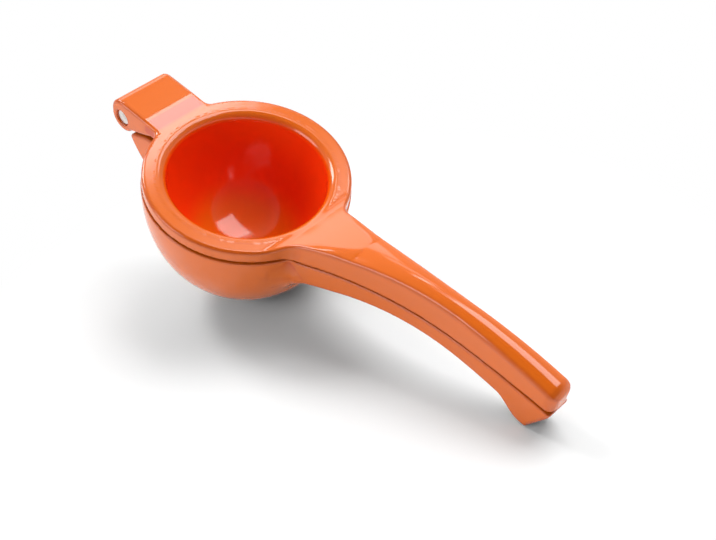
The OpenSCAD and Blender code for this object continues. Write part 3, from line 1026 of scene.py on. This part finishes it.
# The others: name, place, aim, size and light, and the share of each side that fades out.
SOFTBOXES = (
    ("overhead_softbox", (315, 650, 1000), (315, 650, 0), (850, 860), "overhead_light",
     (0.12, 0.12)),
    ("edge_softbox", (-100, 520, 995), (-100, 520, 0), (240, 640), "back_light", (0.9, 0.2)),
    ("back_softbox", (-591, 507, 532), (50, 5, 43), (560, 310), "back_light", (0.2, 0.15)),
    ("bridge_softbox", (-333, 594, 762), (35, 5, 43), (340, 170), "back_light", (0.3, 0.4)),
    ("left_softbox", (-587, -19, 704), (25, 24, 46), (240, 390), "left_light", (0.15, 0.15)),
    ("front_softbox", (-350, -850, 450), (30, 0, 30), (700, 500), "front_light", (0.3, 0.3)),
)

# The table's radius, and in metres the middle and the two radii of its fade to white.
TABLE_R, FADE_MIDDLE, FADE_START, FADE_END = 3.0, (0.06, -0.02), 0.085, 0.165

# The surround darkens along a direction, between two shares of it, to a part of its level.
SKY_LEAN, SKY_START, SKY_END, SKY_DARK = (0.62, -0.30, 0.72), 0.2, 0.9, 0.2

# The camera's place and axes about the ring, and its lens.
CAMERA_PLACE, LENS, SENSOR = (222.4437, -220.62805, 335.5394), 60.34, 36.0
CAMERA_RIGHT = (0.71000061, 0.69535268, 0.11128244)
CAMERA_UP = (-0.59634911, 0.5096607, 0.62017232)
CAMERA_BACK = (0.3745222, -0.50668591, 0.77653236)


def softbox(name, place, aim, size, radiance, feather=(0, 0)):
    """A rectangular softbox at place, in millimetres, facing aim, dimmer towards its sides."""
    light = bpy.data.lights.new(name, "AREA")
    light.shape = "RECTANGLE"
    light.size, light.size_y = (side * MM for side in size)
    light.energy = radiance * math.pi * light.size * light.size_y
    lamp = add_object(name, light)
    lamp.location = Vector(place) * MM
    lamp.rotation_euler = (Vector(aim) - Vector(place)).to_track_quat("-Z", "Y").to_euler()
    if max(feather) > 0:
        light.use_nodes = True
        n, link = light.node_tree.nodes, light.node_tree.links.new
        across = n.new("ShaderNodeSeparateXYZ")
        link(n.new("ShaderNodeNewGeometry").outputs["Parametric"], across.inputs["Vector"])
        levels = []
        for k, share in enumerate(feather):
            fade = node(n, "ShaderNodeMapRange", {"From Max": max(share, 0.001) / 2},
                        interpolation_type="SMOOTHSTEP")
            # 0 at either side, 1/2 in the middle
            link(maths(n, link, "PINGPONG", across.outputs[k], 0.5), fade.inputs["Value"])
            levels.append(fade.outputs["Result"])
        link(maths(n, link, "MULTIPLY", *levels), n["Emission"].inputs["Strength"])
    return lamp


def ring_softbox(radiance):
    """Small softbox, parallel to the ring's face, mirrored in the hinge side of the ring."""
    lay = Matrix(rest_matrix().tolist())
    place = lay @ Vector(RING_SOFTBOX)
    lamp = softbox("ring_softbox", place, (0, 0, 0), RING_SOFTBOX_SIZE, radiance)
    lamp.rotation_euler = lay.to_euler()


def floor_material(settings):
    """Pale table that keeps shadows near the press and runs out to plain white."""
    material, n, link = new_material("Pale Table")
    shader, out = n["Principled BSDF"], n["Material Output"]
    shader.inputs["Roughness"].default_value = 0.6
    shader.inputs["Specular IOR Level"].default_value = 0.2
    shader.inputs["Base Color"].default_value = (*settings.floor, 1)
    white = n.new("ShaderNodeEmission")
    place = n.new("ShaderNodeTexCoord")
    centre = node(n, "ShaderNodeMapping", {"Location": (-FADE_MIDDLE[0], -FADE_MIDDLE[1], 0)})
    away = node(n, "ShaderNodeVectorMath", operation="LENGTH")
    fade = node(n, "ShaderNodeMapRange", {"From Min": FADE_START, "From Max": FADE_END},
                interpolation_type="SMOOTHSTEP")
    link(place.outputs["Object"], centre.inputs["Vector"])
    link(centre.outputs["Vector"], away.inputs[0])
    link(away.outputs["Value"], fade.inputs["Value"])
    rays = n.new("ShaderNodeLightPath")
    seen = maths(n, link, "MAXIMUM", rays.outputs["Is Camera Ray"], rays.outputs["Is Glossy Ray"])
    mix = n.new("ShaderNodeMixShader")
    link(maths(n, link, "MULTIPLY", seen, fade.outputs["Result"]), mix.inputs["Fac"])
    link(shader.outputs["BSDF"], mix.inputs[1])
    link(white.outputs["Emission"], mix.inputs[2])
    link(mix.outputs["Shader"], out.inputs["Surface"])
    return material


def surround(sky):
    """White for the camera, and for everything else grey that darkens overhead."""
    world = bpy.data.worlds.new("Surround")
    bpy.context.scene.world = world
    world.use_nodes = True
    n, link = world.node_tree.nodes, world.node_tree.links.new
    n.clear()
    grey = node(n, "ShaderNodeBackground", {"Color": (1, 1, 1, 1)})
    white = node(n, "ShaderNodeBackground", {"Color": (1, 1, 1, 1)})
    view = n.new("ShaderNodeTexCoord")
    lean = node(n, "ShaderNodeVectorMath", operation="DOT_PRODUCT")
    lean.inputs[1].default_value = SKY_LEAN
    shade = node(n, "ShaderNodeMapRange",
                 {"From Min": SKY_START, "From Max": SKY_END,
                  "To Min": sky, "To Max": SKY_DARK * sky},
                 interpolation_type="SMOOTHSTEP")
    link(view.outputs["Generated"], lean.inputs[0])
    link(lean.outputs["Value"], shade.inputs["Value"])
    link(shade.outputs["Result"], grey.inputs["Strength"])
    rays, mix = n.new("ShaderNodeLightPath"), n.new("ShaderNodeMixShader")
    link(rays.outputs["Is Camera Ray"], mix.inputs["Fac"])
    link(grey.outputs["Background"], mix.inputs[1])
    link(white.outputs["Background"], mix.inputs[2])
    link(mix.outputs["Shader"], n.new("ShaderNodeOutputWorld").inputs["Surface"])


def place_camera():
    """Places the camera about the ring and lays it down with it."""
    camera = add_object("camera", bpy.data.cameras.new("camera"))
    camera.data.sensor_width, camera.data.lens = SENSOR, LENS
    axes, lay = np.array([CAMERA_RIGHT, CAMERA_UP, CAMERA_BACK]).T, rest_matrix()
    camera.location = (lay @ np.array([*CAMERA_PLACE, 1]))[:3] * MM
    camera.rotation_euler = Matrix((lay[:3, :3] @ axes).tolist()).to_euler()
    bpy.context.scene.camera = camera


class PRESS_OT_studio(bpy.types.Operator):
    """Build the pale table, the softboxes, the surround and the camera"""
    bl_idname = "press.studio"
    bl_label = "Studio"

    def execute(self, context):
        settings = context.scene.press_studio
        bm = bmesh.new()
        bmesh.ops.create_circle(bm, cap_ends=True, segments=96, radius=TABLE_R)
        table = bmesh_object("table", bm)
        table.data.materials.append(floor_material(settings))
        ring_softbox(settings.ring_light)
        for name, place, aim, size, light, feather in SOFTBOXES:
            softbox(name, place, aim, size, getattr(settings, light), feather)
        surround(settings.sky)
        place_camera()
        context.scene.view_settings.view_transform = "Standard"
        return {"FINISHED"}


class PRESS_PT_panel(bpy.types.Panel):
    bl_idname = "PRESS_PT_panel"
    bl_label = "Citrus Press"
    bl_space_type = "VIEW_3D"
    bl_region_type = "UI"
    bl_category = "Citrus Press"

    def draw(self, context):
        for operator in OPERATORS:
            self.layout.operator(operator.bl_idname)
        for group in (context.scene.press_shape, context.scene.press_finish,
                      context.scene.press_studio):
            box = self.layout.box()
            for name in group.bl_rna.properties.keys():
                if name not in ("rna_type", "name"):
                    box.prop(group, name)


OPERATORS = (PRESS_OT_upper_press, PRESS_OT_strainer_bowl, PRESS_OT_hinge_pin, PRESS_OT_studio)
CLASSES = (PressShape, PressFinish, StudioSettings, *OPERATORS, PRESS_PT_panel)


def register():
    for item in CLASSES:
        bpy.utils.register_class(item)
    bpy.types.Scene.press_shape = bpy.props.PointerProperty(type=PressShape)
    bpy.types.Scene.press_finish = bpy.props.PointerProperty(type=PressFinish)
    bpy.types.Scene.press_studio = bpy.props.PointerProperty(type=StudioSettings)


def unregister():
    del bpy.types.Scene.press_studio
    del bpy.types.Scene.press_finish
    del bpy.types.Scene.press_shape
    for item in reversed(CLASSES):
        bpy.utils.unregister_class(item)


def main():
    register()
    bpy.ops.press.upper_press()
    bpy.ops.press.strainer_bowl()
    bpy.ops.press.hinge_pin()
    bpy.ops.press.studio()


if __name__ == "__main__":
    main()
